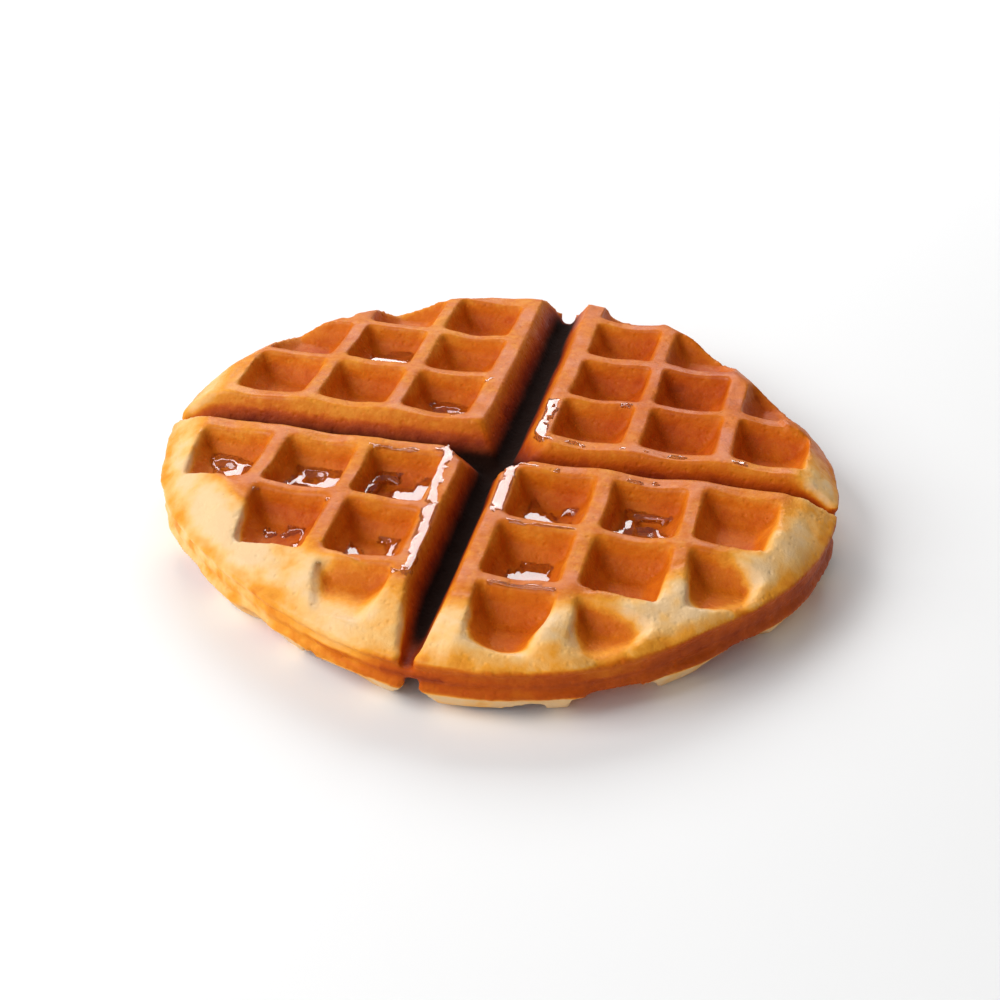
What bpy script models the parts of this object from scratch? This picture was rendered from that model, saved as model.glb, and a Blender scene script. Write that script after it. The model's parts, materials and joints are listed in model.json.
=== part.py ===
"""A round waffle baked as four joined quarters: one solid of baked batter with pockets on both faces."""

import itertools
import math
import random

import bmesh
import bpy
from mathutils import Matrix

# Driving sizes, in metres and radians. X runs along the groove between the front and back quarters.
RADIUS = 0.0915  # from the middle to the rim's edge, where the batter filled the iron
THICKNESS = 0.024
BAND_HEIGHT = 0.008  # the plain band round the rim, halfway up
PITCH = 0.024  # from one rib to the next
RIB_WIDTHS = (0.0041, 0.0031)  # of the ribs that run along Y, and of those along X
FIRST_RIB = 0.009  # a quarter's edge rib, from the middle lines
POCKET_DEPTH = 0.009
POCKET_DRAFT = 0.0023  # how far a pocket's wall leans in on its way down
POCKET_CORNER = 0.0008  # bevel on a pocket's upright corners
FLOOR_ROUNDING = 0.0034  # bevel where a pocket's walls meet its floor
FLOOR_SHARE = 0.6  # the most of a shallow pocket's depth that this bevel takes
GROOVE_EDGE = 0.0064  # a groove's top edge, from the middle line
GROOVE_DEPTH = 0.0100  # of the groove along X
CROSS_STEP = 0.0004  # how much deeper the groove along Y is, and the well where they cross again
GROOVE_FLOOR = 0.0013  # half the width of a groove's bottom
CORNER_CUT = 0.005  # leg of the cut across each quarter's inner corner
LIP = 0.0022  # thickness of the band outside a pocket that runs out over the rim
LIP_STEP = 0.0003  # height of the step from the lip out over the rim
DROOP = math.radians(1.5)  # the limp halves sink this much to the front and back
UNEVEN = 0.0004  # how far a pocket's size and place wander
RIM_STEPS = 80
SLOPE_MIDDLE = 0.013  # width of the rim's slope, halfway between the front and the back
SLOPE_SWING = 0.009  # and how much wider it is at the front, and narrower at the back
LOWER_SLOPE = 0.005  # width of the slope below the band
CLEAR = 0.002  # how far a cutter reaches past the face it cuts

# Where the batter fell short of the iron's edge or, below zero, ran over: direction, spread in degrees, depth.
SHORT_SPOTS = (
    (38, 24, 0.0055),
    (80, 20, -0.0020),
    (130, 30, -0.0020),
    (160, 20, -0.0025),
    (-45, 25, 0.0055),
    (-78, 20, 0.0028),
    (-120, 37, 0.0126),
)

# Each quarter: side along X and Y, its shift on the upper face, and how deep the iron's studs pressed
# into each row, from the groove along X outwards. The first number of a row is next to the other groove.
QUARTERS = {
    "front_left": ((-1, -1), (-0.0006, 0.0018), ((1, 1, 0.9), (1, 0.95), (0.75,))),
    "front_right": ((1, -1), (-0.0018, 0.0006), ((1, 1, 0.8, 0.6), (1, 1, 0.9), (1, 0.9))),
    "back_left": ((-1, 1), (0.0003, 0.0036), ((1, 1, 0.9), (1, 1, 0.8), (1, 0.9, 0.5))),
    "back_right": ((1, 1), (0.0022, -0.0030), ((1, 1, 1), (1, 1, 0.9), (1, 0.9), (0.9,))),
}


def clear_scene():
    for old in list(bpy.data.objects):
        bpy.data.objects.remove(old, do_unlink=True)


def new_collection(name, parent, hidden=False):
    made = bpy.data.collections.new(name)
    parent.children.link(made)
    made.hide_render = hidden
    return made


def new_object(name, bm, collection):
    """An object from this bmesh, with its faces turned outwards."""
    bm.normal_update()
    bmesh.ops.recalc_face_normals(bm, faces=bm.faces)
    mesh = bpy.data.meshes.new(name)
    bm.to_mesh(mesh)
    bm.free()
    made = bpy.data.objects.new(name, mesh)
    collection.objects.link(made)
    return made


def as_cutter(cutter):
    cutter.display_type = "WIRE"
    cutter.hide_render = True
    return cutter


def turn_between(a, b):
    """The angle from one direction to another, in degrees."""
    return (a - b + 180) % 360 - 180


def outline(angle):
    """The rim's radius in this direction."""
    short = 0
    for direction, spread, depth in SHORT_SPOTS:
        short += depth * math.exp(-((turn_between(math.degrees(angle), direction) / spread) ** 2))
    return RADIUS - short


def slope_width(angle, height):
    """Width of the rim's slope: wide above the band at the front, and narrow all round below it."""
    return SLOPE_MIDDLE - SLOPE_SWING * math.sin(angle) if height > THICKNESS / 2 else LOWER_SLOPE


def sunk(x, y, z):
    """Where the limp waffle's own weight takes a point: lower to the front and back, with a flat underside."""
    return (x, y, z - math.tan(DROOP) * abs(y) * z / THICKNESS)


def settle(bm):
    for vertex in bm.verts:
        vertex.co = sunk(*vertex.co)


def turned(name, profile, collection, proud=None):
    """A closed profile of (share of the rim's slope, height) pairs, turned into the waffle's outline.

    A share of 0 is the slope's inner edge, 1 the rim's edge and -1 the middle. proud says how far
    past the rim a share of 1 stands at a height."""
    bm = bmesh.new()
    points = [bm.verts.new((1 + share, 0, height)) for share, height in profile]
    for first, second in zip(points, points[1:]):
        bm.edges.new((first, second))
    mesh = bpy.data.meshes.new(name)
    bm.to_mesh(mesh)
    bm.free()
    turning = bpy.data.objects.new(name, mesh)
    collection.objects.link(turning)
    screw = turning.modifiers.new("Turn", "SCREW")
    screw.steps = screw.render_steps = RIM_STEPS
    screw.use_merge_vertices = True
    screw.merge_threshold = 0.0001
    graph = bpy.context.evaluated_depsgraph_get()
    shaped = bmesh.new()
    shaped.from_object(turning, graph)
    bpy.data.objects.remove(turning, do_unlink=True)
    bmesh.ops.remove_doubles(shaped, verts=shaped.verts, dist=0.0001)
    for vertex in shaped.verts:
        x, y, height = vertex.co
        reach = math.hypot(x, y)
        angle = math.atan2(y, x)
        slope = slope_width(angle, height)
        crown = outline(angle) - slope
        slope += proud(height) if proud else 0
        radius = crown * reach if reach < 1 else crown + (reach - 1) * slope
        vertex.co = (radius * math.cos(angle), radius * math.sin(angle), height)
    settle(shaped)
    return new_object(name, shaped, collection)


def waffle_disc(collection):
    """The waffle before the iron's studs: a flat crown, a rounded slope, the band, and the same below."""
    top = THICKNESS
    band_top = (THICKNESS + BAND_HEIGHT) / 2
    fall = top - band_top
    upper = [(-1, top), (0, top), (0.45, top - 0.22 * fall), (0.85, top - 0.68 * fall), (1, band_top)]
    lower = [(share, THICKNESS - height) for share, height in reversed(upper)]
    return turned("waffle", upper + lower, collection)


def stud_limit(name, upper, collection):
    """The space that the iron's studs may take: past the rim above its band, and inside its lip beside it."""
    edge = (THICKNESS + BAND_HEIGHT) / 2
    heights = [THICKNESS + 2 * CLEAR, edge + LIP_STEP, edge, THICKNESS / 2]
    profile = [(-1, heights[0]), *((1, height) for height in heights), (-1, heights[-1])]
    if not upper:
        profile = [(share, THICKNESS - height) for share, height in reversed(profile)]

    def proud(height):
        return -LIP if abs(height - THICKNESS / 2) < BAND_HEIGHT / 2 + LIP_STEP / 2 else CLEAR

    return as_cutter(turned(name, profile, collection, proud))


def stud(halves, depth):
    """One stud of the iron, standing on its pocket's floor: a peg with leaning sides and cut corners.

    halves is half the pocket's mouth along X and Y."""
    height = depth + CLEAR
    bm = bmesh.new()
    bmesh.ops.create_cube(bm, size=1, matrix=Matrix.Translation((0, 0, 0.5)))
    for vertex in bm.verts:
        x, y, z = vertex.co
        lean = POCKET_DRAFT * (z * height - depth) / POCKET_DEPTH
        vertex.co = (2 * x * (halves[0] + lean), 2 * y * (halves[1] + lean), z * height)
    low = [edge for edge in bm.edges if max(end.co.z for end in edge.verts) < height / 2]
    rounding = min(FLOOR_ROUNDING, FLOOR_SHARE * depth)
    bmesh.ops.bevel(bm, geom=low, offset=rounding, segments=1, affect="EDGES")
    upright = [edge for edge in bm.edges if is_upright(edge)]
    bmesh.ops.bevel(bm, geom=upright, offset=POCKET_CORNER, segments=1, affect="EDGES")
    return bm


def is_upright(edge):
    first, second = (end.co for end in edge.verts)
    return abs(first.z - second.z) > (first.xy - second.xy).length


def add_stud(plate, middle, halves, depth, upper):
    """Puts a stud on this plate of the iron, upside down on the lower one."""
    bm = stud(halves, depth)
    for vertex in bm.verts:
        x, y, z = vertex.co
        vertex.co = (middle[0] + x, middle[1] + y, THICKNESS - depth + z if upper else depth - z)
    single = bpy.data.meshes.new("stud")
    bm.to_mesh(single)
    bm.free()
    plate.from_mesh(single)
    bpy.data.meshes.remove(single)


def pressed(rows, row, column):
    """How deep the batter filled the iron here, as a share of a whole pocket's depth."""
    return rows[row][column] if row < len(rows) and column < len(rows[row]) else 0


def studs(name, upper, collection):
    """All the studs of one plate of the iron, cut off at the rim's lip."""
    wander = random.Random(name)
    mouth = [(PITCH - width) / 2 for width in RIB_WIDTHS]
    plate = bmesh.new()
    for sides, shift, rows in QUARTERS.values():
        for row, column in itertools.product(range(4), repeat=2):
            share = pressed(rows, row, column) if upper else 1
            middle = []
            for side, moved, count in zip(sides, shift, (column, row)):
                place = side * (FIRST_RIB + PITCH * (count + 0.5)) + (moved if upper else 0)
                middle.append(place + wander.uniform(-UNEVEN, UNEVEN))
            inner = [place - side * half for place, side, half in zip(middle, sides, mouth)]
            if share and math.hypot(*inner) < outline(math.atan2(inner[1], inner[0])) - 2 * LIP:
                halves = [half + wander.uniform(-UNEVEN, UNEVEN) / 2 for half in mouth]
                add_stud(plate, middle, halves, POCKET_DEPTH * share, upper)
    settle(plate)
    made = as_cutter(new_object(name, plate, collection))
    inside = made.modifiers.new("Inside the lip", "BOOLEAN")
    inside.operation = "INTERSECT"
    inside.object = stud_limit(name + "_limit", upper, collection)
    return made


def groove(name, along, near, far, upper, collection):
    """One arm of a groove: a trough along X (0) or Y (1) from the middle out over the rim.

    near and far are its two top edges across its length, and the sign of along says which way it runs."""
    axis, way = along
    floor = GROOVE_DEPTH + axis * CROSS_STEP
    bm = bmesh.new()
    bmesh.ops.create_cube(bm, size=1, matrix=Matrix.Translation((0.5, 0.5, 0.5)))
    middle = (near + far) / 2
    steepness = ((far - near) / 2 - GROOVE_FLOOR) / floor
    for vertex in bm.verts:
        length, across, z = vertex.co
        depth = -CLEAR if z > 0.5 else floor
        half = GROOVE_FLOOR + steepness * (floor - depth)
        run = way * ((RADIUS + 4 * CLEAR) * length - GROOVE_FLOOR)
        place = (run, middle + half * (2 * across - 1))
        if axis == 1:
            place = place[::-1]
        vertex.co = (*place, THICKNESS - depth if upper else depth)
    settle(bm)
    return as_cutter(new_object(name, bm, collection))


def grooves(name, upper, collection):
    """The four arms between the quarters, each as wide as the quarters' shifts leave it."""
    made = []
    for axis, way, low, high in (
        (0, -1, "front_left", "back_left"),
        (0, 1, "front_right", "back_right"),
        (1, -1, "front_left", "front_right"),
        (1, 1, "back_left", "back_right"),
    ):
        shifts = [QUARTERS[quarter][1][1 - axis] if upper else 0 for quarter in (low, high)]
        arm_name = f"{name}_{'xy'[axis]}_{'out' if way > 0 else 'in'}"
        edges = (shifts[0] - GROOVE_EDGE, shifts[1] + GROOVE_EDGE)
        made.append(groove(arm_name, (axis, way), *edges, upper, collection))
    return made


def corner_cut(name, upper, collection):
    """The square well, turned on its corner, that cuts across the quarters' inner corners."""
    floor = GROOVE_DEPTH + 2 * CROSS_STEP
    reach = 2 * GROOVE_EDGE + CORNER_CUT
    narrowing = (reach - 3 * GROOVE_FLOOR) / floor
    height = floor + CLEAR
    wide = reach + narrowing * CLEAR
    bm = bmesh.new()
    bmesh.ops.create_cone(
        bm, cap_ends=True, segments=4, radius1=3 * GROOVE_FLOOR, radius2=wide, depth=height,
        matrix=Matrix.Translation((0, 0, height / 2)),
    )
    for vertex in bm.verts:
        x, y, z = vertex.co
        vertex.co = (x, y, THICKNESS - floor + z if upper else floor - z)
    settle(bm)
    return as_cutter(new_object(name, bm, collection))


def cut_all(body, cutters):
    for cutter in cutters:
        cut = body.modifiers.new("Cut by " + cutter.name, "BOOLEAN")
        cut.operation = "DIFFERENCE"
        cut.object = cutter


def centre(objects, body):
    """Moves everything so that the waffle's box stands on the origin."""
    graph = bpy.context.evaluated_depsgraph_get()
    corners = [body.matrix_world @ vertex.co for vertex in body.evaluated_get(graph).data.vertices]
    for axis in (0, 1):
        places = [corner[axis] for corner in corners]
        offset = (max(places) + min(places)) / 2
        for thing in objects:
            thing.location[axis] -= offset
    bpy.context.view_layer.update()


def batter_material():
    material = bpy.data.materials.new("baked_batter")
    material.use_nodes = True
    shader = material.node_tree.nodes["Principled BSDF"]
    shader.inputs["Base Color"].default_value = (0.62, 0.27, 0.075, 1)
    shader.inputs["Roughness"].default_value = 0.55
    shader.inputs["Metallic"].default_value = 0
    return material


def main():
    clear_scene()
    waffle = new_collection("belgian_waffle", bpy.context.scene.collection)
    iron = new_collection("waffle_iron", bpy.context.scene.collection, hidden=True)
    body = waffle_disc(waffle)
    body.data.materials.append(batter_material())
    cutters = []
    for side in ("upper", "lower"):
        upper = side == "upper"
        cutters.append(studs(side + "_studs", upper, iron))
        cutters += grooves(side + "_groove", upper, iron)
        cutters.append(corner_cut(side + "_corners", upper, iron))
    cut_all(body, cutters)
    centre([*waffle.objects, *iron.objects], body)
    body.data.shade_smooth()
    body.data.set_sharp_from_angle(angle=math.radians(30))


main()
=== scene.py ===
import json
import math

import bpy
import numpy as np
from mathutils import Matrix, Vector, noise

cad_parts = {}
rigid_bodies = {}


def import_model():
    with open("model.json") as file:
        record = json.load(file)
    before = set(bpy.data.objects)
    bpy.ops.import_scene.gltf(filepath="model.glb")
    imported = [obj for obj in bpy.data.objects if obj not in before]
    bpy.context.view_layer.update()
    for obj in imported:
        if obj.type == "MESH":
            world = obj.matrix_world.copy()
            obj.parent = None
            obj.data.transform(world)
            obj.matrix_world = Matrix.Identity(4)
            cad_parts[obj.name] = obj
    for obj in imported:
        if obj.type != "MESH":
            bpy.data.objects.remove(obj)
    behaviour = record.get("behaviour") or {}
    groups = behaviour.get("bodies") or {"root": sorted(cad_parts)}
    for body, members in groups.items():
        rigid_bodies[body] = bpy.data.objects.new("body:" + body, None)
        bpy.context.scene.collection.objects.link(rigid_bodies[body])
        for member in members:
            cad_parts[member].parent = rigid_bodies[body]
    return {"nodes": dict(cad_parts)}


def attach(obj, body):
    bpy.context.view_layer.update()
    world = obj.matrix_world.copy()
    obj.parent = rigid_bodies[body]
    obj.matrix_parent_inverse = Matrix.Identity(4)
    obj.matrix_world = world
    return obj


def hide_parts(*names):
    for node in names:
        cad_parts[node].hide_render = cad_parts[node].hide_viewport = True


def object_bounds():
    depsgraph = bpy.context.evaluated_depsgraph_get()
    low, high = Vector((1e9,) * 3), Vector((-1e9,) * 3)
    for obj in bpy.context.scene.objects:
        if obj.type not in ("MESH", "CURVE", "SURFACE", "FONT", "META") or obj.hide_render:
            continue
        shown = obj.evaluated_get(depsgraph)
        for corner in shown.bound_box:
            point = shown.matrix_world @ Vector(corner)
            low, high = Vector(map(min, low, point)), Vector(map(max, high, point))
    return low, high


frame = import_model()
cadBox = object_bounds()

# The iron that the waffle was baked in, as the frame has it. Metres and degrees.
iron = {
    "middle": (0.0007, -0.0051),  # where the grooves cross
    "radius": 0.0915,
    "thickness": 0.024,
    "bandHeight": 0.008,
    "pitch": 0.024,  # from rib to rib
    "firstRib": 0.009,  # from the middle of a groove to the first rib
    "droop": 1.5,  # degrees that the top leans down towards the front and the back
    "slopeMiddle": 0.013,  # how wide the rim's upper slope is, and how much that swings
    "slopeSwing": 0.009,
    "lowerSlope": 0.005,
    "slopeShape": ((0, 0.45, 0.85, 1), (0, 0.22, 0.68, 1)),  # shares of its width and its fall
    "shortSpots": (  # direction, spread, how much the rim falls short
        (38, 24, 0.0055),
        (80, 20, -0.0020),
        (130, 30, -0.0020),
        (160, 20, -0.0025),
        (-45, 25, 0.0055),
        (-78, 20, 0.0028),
        (-120, 37, 0.0126),
    ),
    "shifts": {  # of each quarter's ribs on the upper face
        (-1, -1): (-0.0006, 0.0018),
        (1, -1): (-0.0018, 0.0006),
        (-1, 1): (0.0003, 0.0036),
        (1, 1): (0.0022, -0.0030),
    },
}


def activate(piece):
    bpy.ops.object.select_all(action="DESELECT")
    piece.select_set(True)
    bpy.context.view_layer.objects.active = piece


def applyModifier(piece, kind, **settings):
    activate(piece)
    modifier = piece.modifiers.new(kind.lower(), kind)
    for name, value in settings.items():
        setattr(modifier, name, value)
    bpy.ops.object.modifier_apply(modifier=modifier.name)


def pointsOf(piece):
    points = np.empty(len(piece.data.vertices) * 3, np.float32)
    piece.data.vertices.foreach_get("co", points)
    return points.reshape(-1, 3).astype(float)


def normalsOf(piece):
    normals = np.empty(len(piece.data.vertices) * 3, np.float32)
    piece.data.vertices.foreach_get("normal", normals)
    return normals.reshape(-1, 3).astype(float)


def setPoints(piece, points):
    piece.data.vertices.foreach_set("co", points.astype(np.float32).ravel())
    piece.data.update()


def paint(piece, name, values):
    layer = piece.data.attributes.get(name) or piece.data.attributes.new(name, "FLOAT", "POINT")
    layer.data.foreach_set("value", np.asarray(values, np.float32))


def painted(piece, name):
    values = np.empty(len(piece.data.vertices), np.float32)
    piece.data.attributes[name].data.foreach_get("value", values)
    return values.astype(float)


def ease(values, low, high):  # 0 below low, 1 above high, smooth between
    share = np.clip((values - low) / (high - low), 0, 1)
    return share * share * (3 - 2 * share)


def bump(values, middle, width):
    return np.exp(-(((values - middle) / width) ** 2))


def lumps(points, size, seed):  # soft noise from about -1 to 1, with lumps this big
    start = Vector((seed * 7.31, seed * 3.17, seed * 1.73))
    return np.array([noise.noise(start + Vector(point)) for point in points / size])


class Wire:
    # A socket that can be added, subtracted and multiplied. Each step adds a Math node.
    def __init__(self, graph, socket):
        self.graph = graph
        self.socket = socket

    def step(self, operation, *values):
        return self.graph.node("ShaderNodeMath", {"operation": operation}, dict(enumerate(values)))

    def __add__(self, other):
        return self.step("ADD", self, other)

    def __radd__(self, other):
        return self.step("ADD", other, self)

    def __sub__(self, other):
        return self.step("SUBTRACT", self, other)

    def __rsub__(self, other):
        return self.step("SUBTRACT", other, self)

    def __mul__(self, other):
        return self.step("MULTIPLY", self, other)

    def __rmul__(self, other):
        return self.step("MULTIPLY", other, self)

    def ranged(self, low, high):  # from low and high to 0 and 1, smoothly
        settings = {"interpolation_type": "SMOOTHSTEP"}
        return self.graph.node("ShaderNodeMapRange", settings, {0: self, 1: low, 2: high})


class Graph:
    def __init__(self, name):
        self.material = bpy.data.materials.new(name)
        self.material.use_nodes = True
        self.tree = self.material.node_tree
        self.tree.nodes.clear()

    def node(self, kind, settings=None, inputs=None, output=0):
        made = self.tree.nodes.new(kind)
        for name, value in (settings or {}).items():
            if name == "stops":
                ramp = made.color_ramp.elements
                while len(ramp) < len(value):
                    ramp.new(1)
                for stop, (share, colour) in zip(ramp, value):
                    stop.position = share
                    stop.color = (*colour, 1)
            else:
                setattr(made, name, value)
        for name, value in (inputs or {}).items():
            if isinstance(value, Wire):
                self.tree.links.new(value.socket, made.inputs[name])
            else:
                made.inputs[name].default_value = value
        return Wire(self, made.outputs[output])

    def attribute(self, name):
        return self.node("ShaderNodeAttribute", {"attribute_name": name}, output="Fac")

    def noise(self, place, size, detail=2, roughness=0.5):  # size in metres
        inputs = {"Vector": place, "Scale": 1 / size, "Detail": detail, "Roughness": roughness}
        return self.node("ShaderNodeTexNoise", None, inputs)

    def mix(self, share, first, second):
        inputs = {0: share, 6: first, 7: second}
        return self.node("ShaderNodeMix", {"data_type": "RGBA"}, inputs, output=2)

    def finish(self, shader):
        out = self.tree.nodes.new("ShaderNodeOutputMaterial")
        self.tree.links.new(shader.socket, out.inputs["Surface"])
        return self.material


def outlineAt(angle):  # the rim's radius in this direction, in radians
    radius = np.full_like(angle, iron["radius"])
    for direction, spread, depth in iron["shortSpots"]:
        turn = (np.degrees(angle) - direction + 180) % 360 - 180
        radius -= depth * bump(turn, 0, spread)
    return radius


def ribShift(x, y, upper, axis):  # how far the ribs of each point's quarter stand off the grid
    shift = np.zeros_like(x)
    for sides, moved in iron["shifts"].items():
        shift[upper & (x * sides[0] > 0) & (y * sides[1] > 0)] = moved[axis]
    return shift


def readIron(points):
    # For each point: its place in the iron, its direction, how far down the rim's slope it is,
    # how deep it is sunk under the plain face, and which column and row of pockets it is in.
    x = points[:, 0] - iron["middle"][0]
    y = points[:, 1] - iron["middle"][1]
    thickness = iron["thickness"]
    z = points[:, 2] / (1 - math.tan(math.radians(iron["droop"])) * abs(y) / thickness)
    upper = z > thickness / 2
    angle = np.arctan2(y, x)
    upperSlope = iron["slopeMiddle"] - iron["slopeSwing"] * np.sin(angle)
    slope = np.where(upper, upperSlope, iron["lowerSlope"])
    share = (np.hypot(x, y) - outlineAt(angle) + slope) / slope
    fall = (thickness - iron["bandHeight"]) / 2
    drop = fall * np.interp(share, *iron["slopeShape"])
    height = np.where(upper, thickness - z, z)
    counts = []
    for axis, place in enumerate((x, y)):
        shift = np.sign(place) * ribShift(x, y, upper, axis)
        counts.append((abs(place) - shift - iron["firstRib"]) / iron["pitch"])
    return {
        "x": x, "y": y, "z": z, "angle": np.degrees(angle),
        "slope": share, "upper": upper, "sunk": height - drop, "height": height,
        "column": counts[0], "row": counts[1],
    }


def near(read, angle, spread):  # 1 in this direction, falling off over spread degrees
    turn = (read["angle"] - angle + 180) % 360 - 180
    return bump(turn, 0, spread)


def nearAny(read, directions):  # the same for several, each with its spread and strength
    parts = [strength * near(read, angle, spread) for angle, spread, strength in directions]
    return np.clip(sum(parts), 0, 1)


def farFrom(read, place):  # level distance from a place in the iron
    return np.hypot(read["x"] - place[0], read["y"] - place[1])


body = {
    "merge": 0.00001,  # points this close become one
    "voxel": 0.0008,
    "softening": 2,  # rounds of smoothing
    "wander": 0.0006,  # how far the iron's straight lines wander
    "wanderSize": 0.021,
    "ripple": 0.00025,
    "rippleSize": 0.006,
    "grain": 0.00009,
    "grainSize": 0.0022,
    "puff": 0.0007,  # of the loose batter at the rim
    "puffSize": 0.011,
    "lip": 0.0009,  # of the bead along the band's edges
    "lipSize": 0.009,
    "crease": 0.0007,  # of the hollow inside that bead
    "heave": 0.0004,  # of whole pockets and ribs, up and down
    "heaveSize": 0.016,
    "sag": (0.0013, 0.0006),  # between crossings, of the ribs along X and of those along Y
    "sagSize": 0.018,
    "triangles": 190000,
    # Where the rim's batter is loose and pale: direction, spread, strength.
    "paleRim": (
        (-138, 44, 1.0),
        (-70, 26, 0.75),
        (-30, 24, 0.8),
        (2, 10, 0.7),
        (172, 14, 0.35),
        (90, 60, 0.12),
    ),
    "paleAndLitBand": ((-150, 40, 0.75), (-100, 30, 0.15)),
    # Where the loose batter is paler on top: place in the iron, spread, strength.
    "paleSpots": (
        ((0.0518, -0.0572), 0.0070, 1.0),
        ((0.0600, -0.0620), 0.0050, 0.8),
        ((0.0740, -0.0380), 0.0055, 1.0),
        ((0.0330, -0.0730), 0.0050, 1.0),
        ((0.0085, -0.0730), 0.0045, 0.9),
        ((0.0850, 0.0060), 0.0060, 0.8),
    ),
    "toast": 0.55,  # how brown the plain crust is, from 0 to 1, and what each part adds, some of it painted shade and light
    "pocketToastAndShade": 0.12,
    "toastBackRight": 0.05,
    "toastBackRim": -0.08,
    "leftRimPaleAndLit": -0.06,
    "bandShade": 0.12,
    "bandRightShade": 0.14,
    "grooveShadeAndToast": 0.30,
    "grooveReach": 0.0078,  # half the width of a groove with its walls
    "grooveShadeReach": 0.0070,
    # Where it baked less or more: place in the iron, spread, change in browning.
    "baking": (
        ((-0.0200, -0.0740), 0.0110, -0.40),
        ((0.0440, -0.0740), 0.0080, -0.16),
        ((0.0200, -0.0740), 0.0080, -0.08),
        ((0.0700, -0.0500), 0.0090, -0.10),
        ((0.0820, -0.0200), 0.0070, -0.22),
        ((-0.0800, 0.0150), 0.0090, -0.10),
        ((-0.0300, 0.0650), 0.0120, -0.06),
        ((0.0750, 0.0120), 0.0100, -0.12),
        ((0.0450, 0.0350), 0.0200, 0.06),
    ),
    # Where loose batter rose in a pocket or on the slope: place in the iron, spread, rise.
    "swellings": (
        ((0.0300, -0.0735), 0.0055, 0.0060),
        ((0.0100, -0.0760), 0.0045, 0.0050),
        ((0.0520, -0.0700), 0.0065, 0.0045),
        ((0.0380, -0.0770), 0.0050, 0.0040),
        ((0.0700, -0.0560), 0.0080, 0.0045),
        ((0.0790, -0.0250), 0.0055, 0.0050),
        ((-0.0780, -0.0420), 0.0070, 0.0012),
        ((-0.0200, -0.0740), 0.0090, 0.0022),
        ((0.0790, 0.0330), 0.0060, 0.0025),
    ),
}


def looseCopy(original, name):
    # A copy with its own mesh, no parent, no materials and none of the original's notes.
    piece = original.copy()
    piece.data = original.data.copy()
    piece.name = piece.data.name = name
    for key in list(piece.keys()):
        del piece[key]
    piece.parent = None
    piece.data.materials.clear()
    bpy.context.scene.collection.objects.link(piece)
    return piece


def makeBody():
    piece = looseCopy(frame["nodes"]["waffle"], "bakedWaffle")
    activate(piece)
    bpy.ops.object.mode_set(mode="EDIT")
    bpy.ops.mesh.select_all(action="SELECT")
    bpy.ops.mesh.remove_doubles(threshold=body["merge"])
    bpy.ops.object.mode_set(mode="OBJECT")
    applyModifier(piece, "REMESH", mode="VOXEL", voxel_size=body["voxel"], use_smooth_shade=True)
    applyModifier(piece, "SMOOTH", factor=0.5, iterations=body["softening"])
    return piece


def paleParts(read):
    # Where the batter is loose and light: out on the rim, past the last pressed pockets. On the
    # band and on the underside's fringe, some of that pale is painted light.
    out = ease(read["slope"], -0.15, 0.6)
    shallow = 1 - ease(read["sunk"], 0.0012, 0.0050)
    pale = out * shallow * nearAny(read, body["paleRim"])
    onTop = 1 - ease(read["sunk"], 0.002, 0.005)
    for place, spread, strength in body["paleSpots"]:
        pale = np.maximum(pale, strength * bump(farFrom(read, place), 0, spread) * onTop)
    pale = pale * (1 - 0.45 * ease(read["slope"], 0.7, 0.98))
    # On the underside the fringe is pale batter, made paler still as painted light where it lies
    # in shadow near the floor.
    pale = np.where(read["upper"], pale, ease(read["slope"], -1.5, 0.2) * shallow * 0.8)
    bandEdge = (iron["thickness"] - iron["bandHeight"]) / 2
    blend = np.where(read["upper"], 0.0004, 0.0012)
    band = ease(read["height"], bandEdge - blend, bandEdge + 0.0004)
    band = band * ease(read["slope"], 0.8, 0.95)
    # The band is paler towards the front-left: pale batter, and painted light from the left.
    return pale * (1 - band) + nearAny(read, body["paleAndLitBand"]) * band, band


def toastAndShading(read, band):
    # How brown each part is, from 0 to 1, before the small noise, with painted shade and painted
    # light added in some parts.
    # Darker deeper in the pockets: browner crust, and painted shade.
    toast = body["toast"] + body["pocketToastAndShade"] * ease(read["sunk"], 0.001, 0.006)
    toast += body["toastBackRight"] * ease(read["x"], 0, 0.03) * ease(read["y"], 0, 0.02)
    backRim = near(read, 120, 60) * ease(read["slope"], -0.5, 1) * read["upper"]
    toast += body["toastBackRim"] * backRim
    # Lighter on the left rim: paler batter, and painted light from the left.
    toast += body["leftRimPaleAndLit"] * near(read, 178, 20)
    # Darker on the band: painted shade, most on its right side, away from the light.
    toast += band * (body["bandShade"] + body["bandRightShade"] * near(read, -30, 50))
    for place, spread, change in body["baking"]:
        toast += change * bump(farFrom(read, place), 0, spread) * read["upper"]
    # Darker down the grooves' walls: painted shade, with some browning.
    inGroove = np.minimum(abs(read["x"]), abs(read["y"])) < body["grooveReach"]
    toast += body["grooveShadeAndToast"] * inGroove * ease(read["sunk"], 0.001, 0.006)
    return toast


def grooveDark(read):
    # The bottoms of the grooves: painted shade, as they lie out of the light, with some scorching.
    inGroove = np.zeros(len(read["x"]), bool)
    for axis, place in enumerate((read["x"], read["y"])):
        shift = ribShift(read["x"], read["y"], read["upper"], axis)
        inGroove |= abs(place - shift) < body["grooveShadeReach"]
    return inGroove * ease(read["sunk"], 0.0050, 0.0088)


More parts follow.
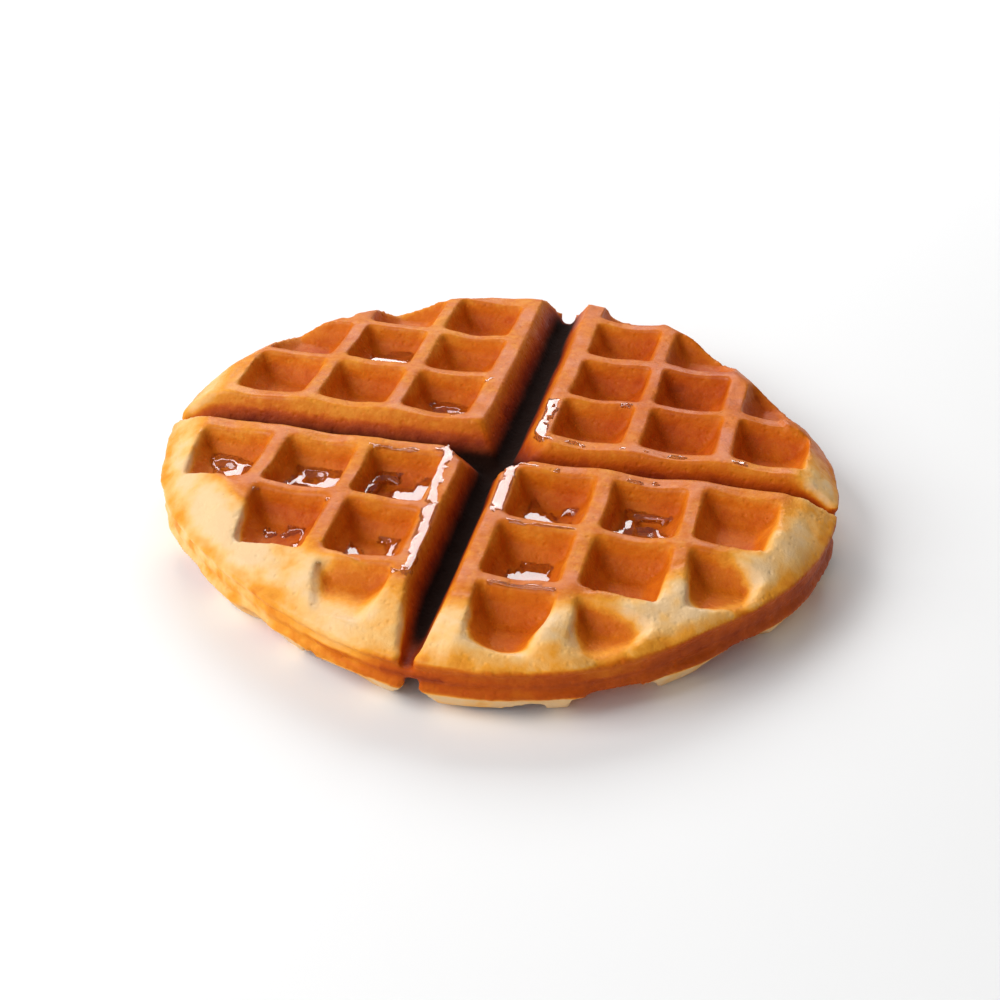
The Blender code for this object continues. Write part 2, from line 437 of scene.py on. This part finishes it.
def sculptBody(piece):
    points = pointsOf(piece)
    normals = normalsOf(piece)
    read = readIron(points)
    pale, band = paleParts(read)
    paint(piece, "pale", pale)
    paint(piece, "toast", toastAndShading(read, band))
    paint(piece, "dark", grooveDark(read))
    paint(piece, "ribTop", read["upper"] * (1 - ease(read["sunk"], 0.0006, 0.0020)) * (1 - band))

    # First along the normals.
    inBand = iron["bandHeight"] / 2 - abs(read["z"] - iron["thickness"] / 2)
    atRim = ease(read["slope"], 0.75, 0.95) * (0.8 + 0.5 * lumps(points, body["lipSize"], 5))
    amount = body["lip"] * atRim * bump(inBand, 0, 0.0012)
    amount -= body["crease"] * atRim * bump(inBand, 0.0020, 0.0010)
    amount += body["puff"] * pale * lumps(points, body["puffSize"], 2)
    amount += body["ripple"] * lumps(points, body["rippleSize"], 3)
    amount += body["grain"] * lumps(points, body["grainSize"], 4)
    moved = points + normals * amount[:, None]
    for axis in (0, 1):
        astray = lumps(points * (1, 1, 0.3), body["wanderSize"], 10 + axis)
        moved[:, axis] += body["wander"] * astray

    # Then up and down, above the band only.
    rise = body["heave"] * lumps(points * (1, 1, 0.1), body["heaveSize"], 20)
    toTop = 1 - ease(read["sunk"], 0.0010, 0.0075)
    uneven = 0.9 + 0.7 * lumps(points * (1, 1, 0), body["sagSize"], 21)
    for sag, along, across in zip(body["sag"], ("column", "row"), ("row", "column")):
        span = np.sin(math.pi * read[along]) ** 2 * (read[along] > 0)
        onRib = bump(read[across] - np.round(read[across]), 0, 0.13)
        rise -= sag * span * onRib * toTop * uneven * (read["slope"] < 0.1)
    low = 0.35 + 0.65 * ease(read["sunk"], 0, 0.005)
    inside = 1 - ease(read["slope"], 0.88, 1.02)
    for place, spread, lift in body["swellings"]:
        rise += lift * bump(farFrom(read, place), 0, spread) * low * inside
    moved[:, 2] += rise * ease(read["z"], 0.013, 0.0155)
    setPoints(piece, np.clip(moved, *cadBox))
    applyModifier(piece, "SMOOTH", factor=0.5, iterations=1)
    triangles = 2 * len(piece.data.polygons)
    applyModifier(piece, "DECIMATE", ratio=body["triangles"] / triangles)
    piece.data.shade_smooth()


crust = {
    "stops": (  # from pale batter to the darkest crust
        (0.00, (0.85, 0.59, 0.33)),
        (0.18, (0.90, 0.51, 0.17)),
        (0.36, (0.86, 0.34, 0.030)),
        (0.55, (0.66, 0.160, 0.004)),
        (0.75, (0.50, 0.078, 0.001)),
        (1.00, (0.23, 0.020, 0.0005)),
    ),
    "scorchAndShade": (0.012, 0.003, 0.001, 1),
    "patchSize": 0.013,
    "mottleSize": 0.00585,
    "freckleSize": 0.0022,
    "grainSize": 0.0011,
    "poreSize": 0.0024,
    "relief": 0.0006,  # of the grain and the pores
    "roughness": 0.48,
    "shine": 0.13,
    "butter": 0.3,  # how glossy the wet patches on the ribs are
}


def crustMaterial():
    graph = Graph("bakedCrust")
    place = graph.node("ShaderNodeTexCoord", output="Object")
    pale = graph.attribute("pale")
    patches = graph.noise(place, crust["patchSize"], 3, 0.55)
    mottles = graph.noise(place, crust["mottleSize"], 2, 0.5)
    freckles = graph.noise(place, crust["freckleSize"], 3, 0.6)
    loose = (pale * (0.95 + (patches - 0.5) * 1.5 + (mottles - 0.5) * 1.1)).ranged(0.05, 1.0)
    # The crust's tone: browning, with painted shade and painted light added in some parts.
    toast = graph.attribute("toast") + (patches - 0.5) * 0.36 + (freckles - 0.5) * 0.26
    toast = toast * (1 - loose * 0.95)
    colour = graph.node("ShaderNodeValToRGB", {"stops": crust["stops"]}, {0: toast})
    # Near black at the grooves' bottoms: painted shade, with some scorching.
    colour = graph.mix(graph.attribute("dark"), colour, crust["scorchAndShade"])
    grain = graph.noise(place, crust["grainSize"], 4, 0.65)
    pores = graph.node("ShaderNodeTexVoronoi", None, {
        "Vector": place, "Scale": 1 / crust["poreSize"],
    })
    relief = grain * 0.6 + pores.ranged(0.0, 0.35) * 0.4
    normal = graph.node("ShaderNodeBump", None, {
        "Strength": 0.6, "Distance": crust["relief"], "Height": relief,
    })
    wet = (graph.attribute("ribTop") * patches).ranged(0.35, 0.6)
    shader = graph.node("ShaderNodeBsdfPrincipled", None, {
        "Base Color": colour, "Normal": normal, "Specular IOR Level": crust["shine"],
        "Roughness": crust["roughness"] + (freckles - 0.5) * 0.3 + graph.attribute("dark") * 0.5,
        "Coat Weight": wet * crust["butter"], "Coat Roughness": 0.3,
    })
    return graph.finish(shader)


# Clear syrup lies in thin streaks on the ribs and in shallow pools on the pockets' floors.
syrup = {
    "colour": (1.0, 0.86, 0.60, 1),
    "roughness": 0.04,
    "ior": 1.4,
    "coatRoughness": 0.03,
    "coatIor": 1.6,
    "skin": 0.0003,  # how far a sheet reaches down into the crust
}


def syrupMaterial():
    graph = Graph("clearSyrup")
    shader = graph.node("ShaderNodeBsdfPrincipled", None, {
        "Base Color": syrup["colour"], "Roughness": syrup["roughness"], "IOR": syrup["ior"],
        "Transmission Weight": 1.0, "Specular IOR Level": 1.0, "Coat Weight": 1.0,
        "Coat Roughness": syrup["coatRoughness"], "Coat IOR": syrup["coatIor"],
    })
    return graph.finish(shader)


def partOf(piece, name, chosen, cuts):
    # A copy of the faces whose points are all chosen, each cut finer if asked.
    part = looseCopy(piece, name)
    for face in part.data.polygons:
        face.select = not all(chosen[corner] for corner in face.vertices)
    activate(part)
    bpy.ops.object.mode_set(mode="EDIT")
    bpy.ops.mesh.select_mode(type="FACE")
    bpy.ops.mesh.delete(type="FACE")
    bpy.ops.mesh.select_all(action="SELECT")
    if cuts:
        bpy.ops.mesh.subdivide(number_cuts=cuts)
    bpy.ops.object.mode_set(mode="OBJECT")
    return part


def fromEdge(piece, rounds):
    # 0 at the open edge of a sheet, rising to 1 inside over some rounds of faces.
    count = len(piece.data.vertices)
    ends = np.array([edge.vertices[:] for edge in piece.data.edges])
    uses = np.zeros(len(ends), int)
    for face in piece.data.polygons:
        for loop in face.loop_indices:
            uses[piece.data.loops[loop].edge_index] += 1
    onEdge = np.zeros(count, bool)
    onEdge[ends[uses == 1].ravel()] = True
    steps = np.where(onEdge, 0.0, rounds)
    for again in range(rounds):
        for a, b in ((0, 1), (1, 0)):
            np.minimum.at(steps, ends[:, a], steps[ends[:, b]] + 1)
    return steps / rounds


def thicken(piece, outer, depth):
    # Closes a sheet into a thin solid: its own points go to outer, and a copy sinks by depth.
    count = len(piece.data.vertices)
    applyModifier(piece, "SOLIDIFY", thickness=depth, offset=-1)
    points = pointsOf(piece)
    points[:count] = outer
    setPoints(piece, points)
    piece.data.shade_smooth()


streaks = {
    "raggedSize": 0.0035,  # of the ragged edges
    "height": 0.0011,  # at most, over the crust
    "underEdge": 0.00012,  # how far the edges tuck into the crust
    "lines": (  # points along each streak in the iron, half its width
        (((-0.0108, -0.0023), (-0.0096, -0.0258), (-0.0085, -0.0452), (-0.0077, -0.0590)), 0.0022),
        (((-0.0323, -0.0080), (-0.0213, -0.0078), (-0.0105, -0.0060)), 0.0013),
        (((-0.0550, -0.0345), (-0.0433, -0.0350), (-0.0318, -0.0350)), 0.0013),
        (((-0.0293, -0.0590), (-0.0205, -0.0590), (-0.0118, -0.0590)), 0.0013),
        (((0.0106, 0.0266), (0.0105, 0.0159), (0.0105, 0.0060)), 0.0020),
        (((0.0114, 0.0055), (0.0317, 0.0055), (0.0516, 0.0055)), 0.0012),
        (((0.0164, 0.0554), (0.0164, 0.0554)), 0.0014),
        (((0.0285, 0.0288), (0.0310, 0.0292)), 0.0014),
        (((0.0625, 0.0055), (0.0665, 0.0055)), 0.0014),
        (((0.0070, -0.0080), (0.0070, -0.0191), (0.0072, -0.0320)), 0.0020),
        (((0.0070, -0.0080), (0.0119, -0.0085), (0.0188, -0.0085)), 0.0013),
        (((0.0347, -0.0085), (0.0413, -0.0085), (0.0479, -0.0085)), 0.0011),
        (((0.0108, -0.0330), (0.0197, -0.0328), (0.0290, -0.0328)), 0.0013),
        (((0.0121, -0.0575), (0.0201, -0.0572), (0.0283, -0.0572)), 0.0012),
        (((-0.0130, 0.0125), (-0.0160, 0.0128)), 0.0012),
        (((-0.0105, 0.0330), (-0.0080, 0.0380)), 0.0014),
    ),
}


def nearStreak(read, ends, width):
    # 1 on the line through these points, falling off over its width.
    place = np.stack([read["x"], read["y"]], axis=1)
    close = np.full(len(place), 1.0)
    for first, second in zip(ends, ends[1:]):
        start, along = np.array(first), np.array(second) - first
        length = max(along @ along, 1e-12)  # a single drop has no length
        share = np.clip((place - start) @ along / length, 0, 1)
        close = np.minimum(close, np.linalg.norm(place - start - share[:, None] * along, axis=1))
    return bump(close, 0, width)


def makeStreaks(piece):
    points = pointsOf(piece)
    read = readIron(points)
    ragged = lumps(points, streaks["raggedSize"], 40) * 0.7
    wet = sum(nearStreak(read, ends, width) for ends, width in streaks["lines"])
    top = 1 - ease(read["sunk"], 0.0008, 0.0024)
    chosen = (wet * (1 + ragged) > 0.30) & (top > 0.15) & read["upper"]
    sheet = partOf(piece, "syrupStreaks", chosen, 1)
    share = ease(fromEdge(sheet, 3), 0, 1)
    points, normals = pointsOf(sheet), normalsOf(sheet)
    face = iron["thickness"] * points[:, 2] / readIron(points)["z"]
    rise = np.clip(face + 0.0001 - points[:, 2], 0.0002, streaks["height"])
    outer = points - normals * (streaks["underEdge"] * (1 - share))[:, None]
    outer[:, 2] += rise * share * (0.95 + 0.15 * lumps(points, 0.005, 41))
    thicken(sheet, outer, syrup["skin"])
    return sheet


pools = {
    "gapSize": 0.0050,
    "gaps": -0.33,  # the noise below which a pool has a gap
    "underEdge": 0.0002,
    "depths": (  # quarter, row, column, and how deep the pool is
        ((-1, -1), 0, 0, 0.0031),
        ((-1, -1), 0, 1, 0.0023),
        ((-1, -1), 0, 2, 0.0016),
        ((-1, -1), 1, 0, 0.0015),
        ((-1, -1), 1, 1, 0.0010),
        ((1, -1), 0, 0, 0.0021),
        ((1, -1), 0, 1, 0.0026),
        ((1, -1), 1, 0, 0.0011),
        ((-1, 1), 0, 0, 0.0013),
        ((-1, 1), 1, 1, 0.0022),
    ),
}


def makePools(piece):
    points = pointsOf(piece)
    read = readIron(points)
    level = np.full(len(points), -1.0)
    for sides, row, column, depth in pools["depths"]:
        here = (read["x"] * sides[0] > 0) & (read["y"] * sides[1] > 0) & read["upper"]
        here &= (np.floor(read["row"]) == row) & (np.floor(read["column"]) == column)
        low = points[here & (read["row"] % 1 > 0.4) & (read["row"] % 1 < 0.6), 2].min()
        level[here] = low + depth
    filled = lumps(points * (1, 1, 0.3), pools["gapSize"], 42) > pools["gaps"]
    chosen = (points[:, 2] < level + 0.0003) & (read["slope"] < 0.2) & filled
    paint(piece, "level", level)
    sheet = partOf(piece, "syrupPools", chosen, 0)
    points, normals = pointsOf(sheet), normalsOf(sheet)
    level = painted(sheet, "level")
    inside = fromEdge(sheet, 1) > 0.5
    outer = points - normals * pools["underEdge"]
    outer[inside, 2] = np.maximum(level, points[:, 2] - 0.0001)[inside]
    thicken(sheet, outer, syrup["skin"])
    return sheet


studio = {
    "floorSize": 6,
    "floorColour": (0.93, 0.93, 0.93),
    "world": 0.20,
    "aim": (0.0084, -0.0319, 0.024),  # what the camera looks at
    "elevation": 33.96,  # of the camera, and its turn from the front
    "turn": 13.54,
    "distance": 0.4089,
    "lens": 58.5,
    "lights": (  # name, azimuth from +X, elevation, distance, width, height, brightness
        ("window", 103, 37, 1.1, 0.9, 0.55, 5),
        ("key", 206, 40, 1.3, 0.9, 0.9, 5.5),
        ("fill", -105, 30, 1.6, 1.2, 1.0, 1.4),
    ),
}


def makeFloor():
    bpy.ops.object.select_all(action="DESELECT")
    bpy.ops.mesh.primitive_plane_add(size=studio["floorSize"])
    floor = bpy.context.object
    floor.name = floor.data.name = "floor"
    graph = Graph("paleFloor")
    shader = graph.node("ShaderNodeBsdfPrincipled", None, {
        "Base Color": (*studio["floorColour"], 1), "Roughness": 0.8, "Specular IOR Level": 0.2,
    })
    floor.data.materials.append(graph.finish(shader))


def makeLight(name, azimuth, elevation, distance, width, height, brightness):
    # An area light that faces the middle. Its energy grows with its size, so it looks as bright.
    lamp = bpy.data.lights.new(name, "AREA")
    lamp.shape = "RECTANGLE"
    lamp.size = width
    lamp.size_y = height
    lamp.energy = brightness * math.pi * width * height
    light = bpy.data.objects.new(name, lamp)
    bpy.context.scene.collection.objects.link(light)
    turn, rise = math.radians(azimuth), math.radians(elevation)
    flat = math.cos(rise)
    way = Vector((math.cos(turn) * flat, math.sin(turn) * flat, math.sin(rise)))
    light.location = way * distance
    light.rotation_euler = way.to_track_quat("Z", "Y").to_euler()


def makeCamera():
    lens = bpy.data.cameras.new("camera")
    lens.lens = studio["lens"]
    lens.clip_start = 0.01
    camera = bpy.data.objects.new("camera", lens)
    bpy.context.scene.collection.objects.link(camera)
    rise, turn = math.radians(studio["elevation"]), math.radians(studio["turn"])
    flat = math.cos(rise)
    way = Vector((math.sin(turn) * flat, -math.cos(turn) * flat, math.sin(rise)))
    camera.location = Vector(studio["aim"]) + way * studio["distance"]
    camera.rotation_euler = (math.pi / 2 - rise, 0, turn)
    bpy.context.scene.camera = camera


def makeStudio():
    world = bpy.data.worlds.new("studio")
    world.use_nodes = True
    background = world.node_tree.nodes["Background"].inputs
    background["Color"].default_value = (1, 1, 1, 1)
    background["Strength"].default_value = studio["world"]
    bpy.context.scene.world = world
    bpy.context.scene.view_settings.view_transform = "Standard"
    makeFloor()
    for light in studio["lights"]:
        makeLight(*light)
    makeCamera()


def triangleCount(piece):
    return sum(len(face.vertices) - 2 for face in piece.data.polygons)


print("stage 1: camera, floor and lights")
makeStudio()

print("stage 2: the waffle's body")
waffle = makeBody()
sculptBody(waffle)
waffle.data.materials.append(crustMaterial())
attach(waffle, "root")
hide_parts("waffle")
print("body:", triangleCount(waffle), "triangles")

print("stage 3: the syrup")
clearSyrup = syrupMaterial()
for piece in (makeStreaks(waffle), makePools(waffle)):
    piece.data.materials.append(clearSyrup)
    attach(piece, "root")
    print(piece.name + ":", triangleCount(piece), "triangles")
